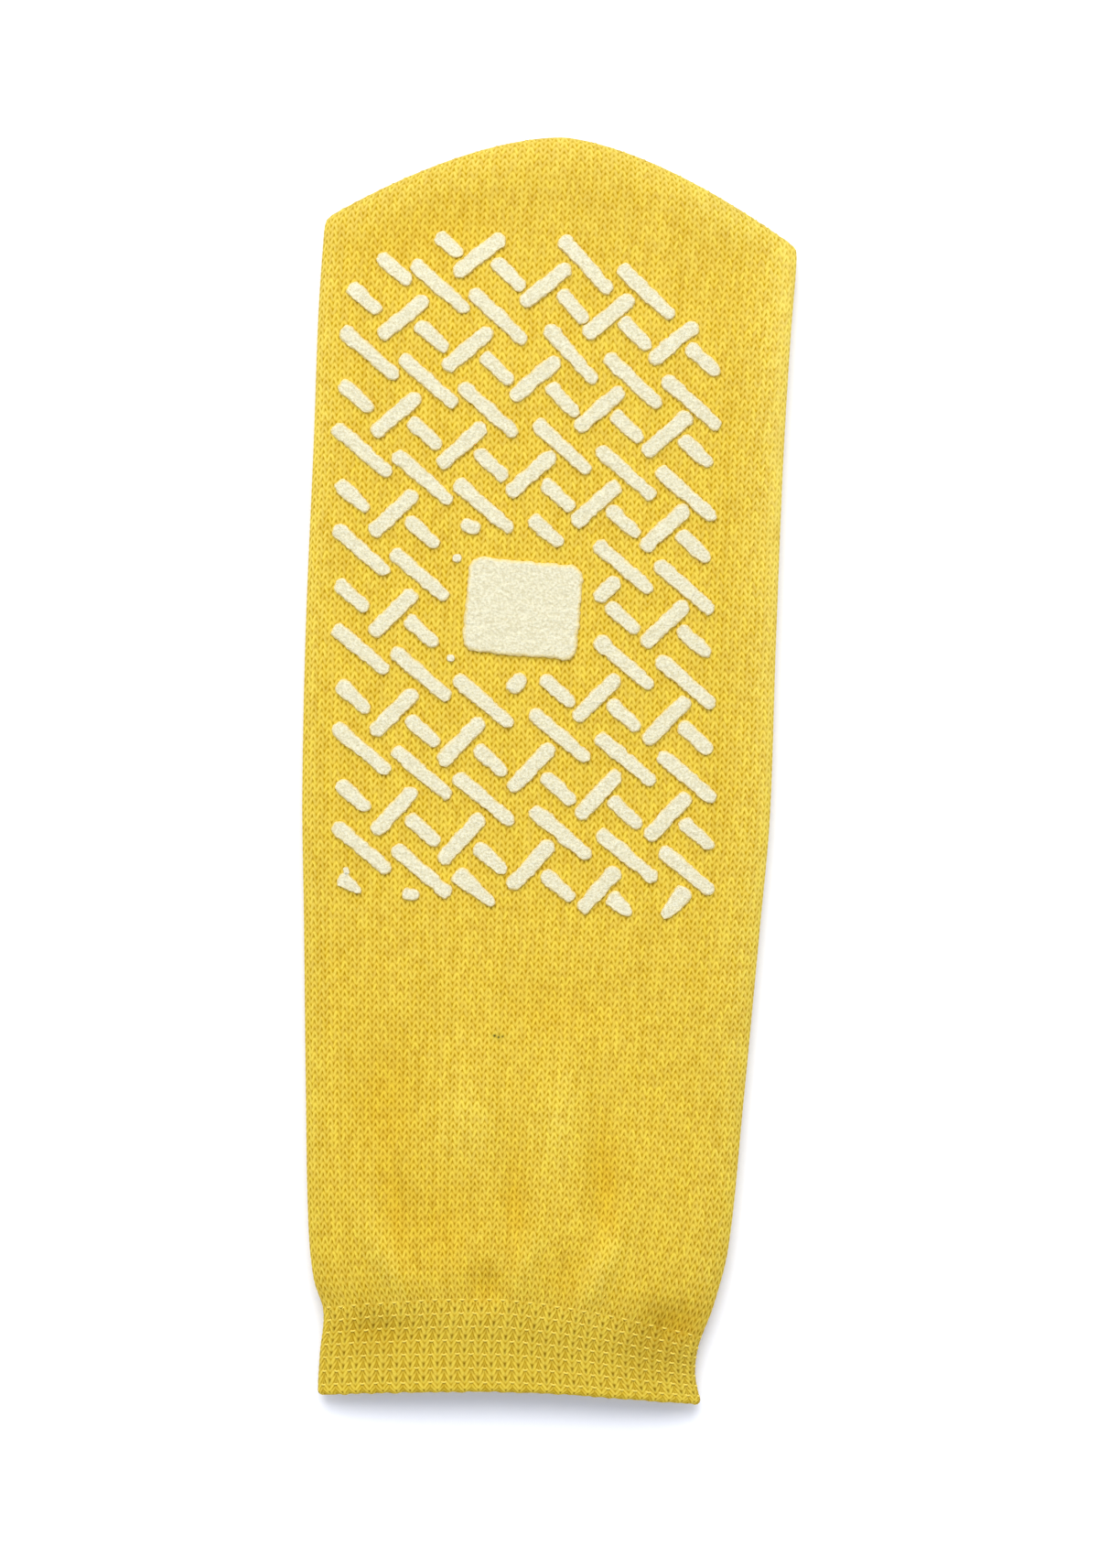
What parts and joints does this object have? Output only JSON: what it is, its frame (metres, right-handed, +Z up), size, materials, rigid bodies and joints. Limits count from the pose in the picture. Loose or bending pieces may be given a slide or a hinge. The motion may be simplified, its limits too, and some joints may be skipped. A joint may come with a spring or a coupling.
{
  "type": "slipper sock",
  "caption": "Knitted tube slipper sock lying flat, closed at the toe and open at an elastic cuff, with a raised basket-weave foam tread that grips the floor.",
  "frame": {"origin": "on the floor under the middle of the sock's outline", "axes": "+X across the sock to the picture's right, +Y along it from cuff to toe, +Z up from the floor through the tread"},
  "size_m": [0.1015, 0.27, 0.0142],
  "materials": {
    "knit": "matt yellow jersey knit",
    "foam_print": "matt cream puffed foam print"
  },
  "bodies": {
    "root": {"sock_tube": "knit", "tread_long_01": "foam_print", "tread_long_02": "foam_print", "tread_long_03": "foam_print", "tread_long_04": "foam_print", "tread_long_05": "foam_print", "tread_long_06": "foam_print", "tread_long_07": "foam_print", "tread_long_08": "foam_print", "tread_long_09": "foam_print", "tread_long_10": "foam_print", "tread_long_11": "foam_print", "tread_long_12": "foam_print", "tread_long_13": "foam_print", "tread_long_14": "foam_print", "tread_long_15": "foam_print", "tread_long_16": "foam_print", "tread_long_17": "foam_print", "tread_long_18": "foam_print", "tread_long_19": "foam_print", "tread_long_20": "foam_print", "tread_long_21": "foam_print", "tread_long_22": "foam_print", "tread_long_23": "foam_print", "tread_long_24": "foam_print", "tread_long_25": "foam_print", "tread_long_26": "foam_print", "tread_long_27": "foam_print", "tread_long_28": "foam_print", "tread_long_29": "foam_print", "tread_long_30": "foam_print", "tread_long_31": "foam_print", "tread_long_32": "foam_print", "tread_long_33": "foam_print", "tread_long_34": "foam_print", "tread_long_35": "foam_print", "tread_long_36": "foam_print", "tread_long_37": "foam_print", "tread_long_38": "foam_print", "tread_long_39": "foam_print", "tread_pad": "foam_print", "tread_short_01": "foam_print", "tread_weave_01": "foam_print", "tread_weave_02": "foam_print", "tread_weave_03": "foam_print", "tread_weave_04": "foam_print", "tread_weave_05": "foam_print", "tread_weave_06": "foam_print", "tread_weave_07": "foam_print", "tread_weave_08": "foam_print", "tread_weave_09": "foam_print", "tread_weave_10": "foam_print", "tread_weave_11": "foam_print", "tread_weave_12": "foam_print", "tread_weave_13": "foam_print", "tread_weave_14": "foam_print", "tread_weave_15": "foam_print"}
  },
  "joints": []
}
